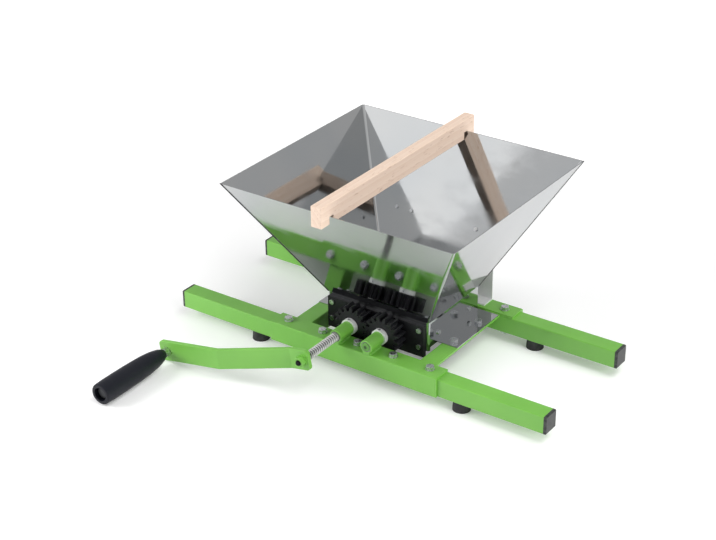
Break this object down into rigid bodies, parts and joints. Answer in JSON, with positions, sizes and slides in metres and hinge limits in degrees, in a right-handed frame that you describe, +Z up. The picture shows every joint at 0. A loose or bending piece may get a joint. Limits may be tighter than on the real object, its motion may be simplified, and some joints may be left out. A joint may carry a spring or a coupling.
{
  "type": "apple scratter",
  "caption": "Hand-cranked fruit crusher: a square steel hopper over a pair of geared, toothed rollers, on two square-tube rails with rubber feet.",
  "frame": {"origin": "on the floor, under the centre of the bounding box", "axes": "+X along the rails, +Y from the crank's side to the back, +Z up"},
  "size_m": [0.575, 0.5364, 0.264],
  "materials": {
    "green_paint": "semi-gloss powder coat",
    "black_plastic": "moulded, satin",
    "black_rubber": "matt",
    "zinc_steel": "bright zinc plated",
    "sintered_iron": "sintered iron, oiled",
    "turned_steel": "turned",
    "spring_steel": "black oxide",
    "polished_steel": "mirror-polished stainless steel",
    "brushed_steel": "satin stainless steel",
    "grip_plastic": "fine matt texture",
    "bare_wood": "planed, unfinished"
  },
  "bodies": {
    "base": {"bracket_rivets": "zinc_steel", "drive_front_bush": "sintered_iron", "drive_rear_bush": "sintered_iron", "driven_front_bush": "sintered_iron", "driven_rear_bush": "sintered_iron", "end_plate_screws": "zinc_steel", "foot_screws": "zinc_steel", "front_bearing_angle": "green_paint", "front_end_plate": "black_plastic", "front_left_cap": "black_plastic", "front_left_foot": "black_rubber", "front_rail": "green_paint", "front_rail_bolts": "zinc_steel", "front_right_cap": "black_plastic", "front_right_foot": "black_rubber", "hopper": "polished_steel", "hopper_bolts": "zinc_steel", "hopper_nuts": "zinc_steel", "left_cross_angle": "green_paint", "left_hopper_bracket": "brushed_steel", "left_side_guide": "black_plastic", "rail_nuts": "zinc_steel", "rail_washers": "zinc_steel", "rear_bearing_angle": "green_paint", "rear_end_plate": "black_plastic", "rear_left_cap": "black_plastic", "rear_left_foot": "black_rubber", "rear_rail": "green_paint", "rear_rail_bolts": "zinc_steel", "rear_right_cap": "black_plastic", "rear_right_foot": "black_rubber", "right_cross_angle": "green_paint", "right_hopper_bracket": "brushed_steel", "right_side_guide": "black_plastic", "side_guide_screws": "zinc_steel"},
    "crank_set": {"drive_collar": "turned_steel", "drive_collar_screw": "zinc_steel", "drive_gear": "black_plastic", "drive_gear_key": "turned_steel", "drive_retaining_rings": "spring_steel", "drive_roller_key": "turned_steel", "drive_shaft": "turned_steel", "drive_star_wheels": "black_plastic", "crank_arm": "green_paint", "crank_washer": "green_paint", "crank_nut": "green_paint", "grip_spindle": "spring_steel", "grip_spacer": "zinc_steel", "grip_nut": "zinc_steel"},
    "driven_set": {"driven_collar": "turned_steel", "driven_collar_screw": "zinc_steel", "driven_gear": "black_plastic", "driven_gear_key": "turned_steel", "driven_retaining_rings": "spring_steel", "driven_roller_key": "turned_steel", "driven_shaft": "turned_steel", "driven_star_wheels": "black_plastic"},
    "grip_body": {"grip": "grip_plastic"},
    "bar_body": {"wooden_bar": "bare_wood"}
  },
  "joints": [
    {"name": "crank_turn", "type": "hinge", "parent": "base", "child": "crank_set", "pos_m": [-0.024, -0.10555, 0.053], "axis": [0, 1, 0], "continuous": true},
    {"name": "driven_turn", "type": "hinge", "parent": "base", "child": "driven_set", "pos_m": [0.024, 0, 0.053], "axis": [0, 1, 0], "continuous": true},
    {"name": "grip_spin", "type": "hinge", "parent": "crank_set", "child": "grip_body", "pos_m": [-0.2236, -0.204, 0.016], "axis": [0, 1, 0], "continuous": true},
    {"name": "bar_lift", "type": "slide", "parent": "base", "child": "bar_body", "axis": [0, 0, 1], "range_m": [0, 0.15]}
  ],
  "couplings": [
    {"joint": "driven_turn", "follows": "crank_turn", "ratio": -1}
  ]
}
